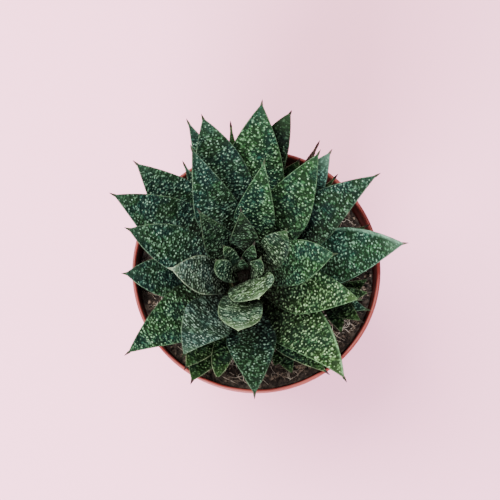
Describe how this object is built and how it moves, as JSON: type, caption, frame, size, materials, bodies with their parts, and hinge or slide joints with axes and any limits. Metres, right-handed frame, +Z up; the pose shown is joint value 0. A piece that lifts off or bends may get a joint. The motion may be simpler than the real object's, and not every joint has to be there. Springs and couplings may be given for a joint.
{
  "type": "potted gasteria",
  "caption": "Rosette succulent with thick, pointed, white-warted dark green leaves and small offsets, in a round terracotta-coloured nursery pot of dark soil.",
  "frame": {"origin": "centre of the pot's flat base, on the surface that it stands on", "axes": "+Z up along the pot's axis; +Y towards the side where the tallest leaves lean, the top of the picture; +X to the picture's right"},
  "size_m": [0.1409, 0.1388, 0.1395],
  "materials": {
    "pot": "terracotta-red moulded plastic, slightly satin",
    "soil": "dark, crumbly peat soil with pale and tan fibres",
    "stem": "short fleshy stem, pale green, hidden by the leaf bases",
    "leaf": "dark bluish green skin, satin, with dense pale green-white warts and a pale horny margin",
    "old_leaf": "dark olive green skin, satin, with small pale dots",
    "young_leaf": "pale yellowish green skin, satin, with warts that run together in wavy ridges"
  },
  "bodies": {
    "root": {"crown": "young_leaf", "leaf_inner_1": "young_leaf", "leaf_inner_2": "young_leaf", "leaf_inner_3": "young_leaf", "leaf_inner_4": "young_leaf", "leaf_inner_5": "young_leaf", "leaf_low_1": "old_leaf", "leaf_low_10": "old_leaf", "leaf_low_11": "old_leaf", "leaf_low_2": "old_leaf", "leaf_low_3": "old_leaf", "leaf_low_4": "old_leaf", "leaf_low_5": "old_leaf", "leaf_low_6": "old_leaf", "leaf_low_7": "old_leaf", "leaf_low_8": "old_leaf", "leaf_low_9": "old_leaf", "leaf_middle_1": "leaf", "leaf_middle_2": "leaf", "leaf_middle_3": "leaf", "leaf_middle_4": "leaf", "leaf_middle_5": "leaf", "leaf_middle_6": "leaf", "leaf_outer_1": "leaf", "leaf_outer_2": "leaf", "leaf_outer_3": "leaf", "leaf_outer_4": "leaf", "leaf_outer_5": "leaf", "leaf_outer_6": "leaf", "leaf_outer_7": "leaf", "leaf_outer_8": "leaf", "leaf_upper_1": "leaf", "leaf_upper_2": "leaf", "leaf_upper_3": "leaf", "leaf_upper_4": "leaf", "leaf_upper_5": "leaf", "offset_1": "old_leaf", "offset_2": "old_leaf", "pot": "pot", "soil": "soil", "stem": "stem"}
  },
  "joints": []
}
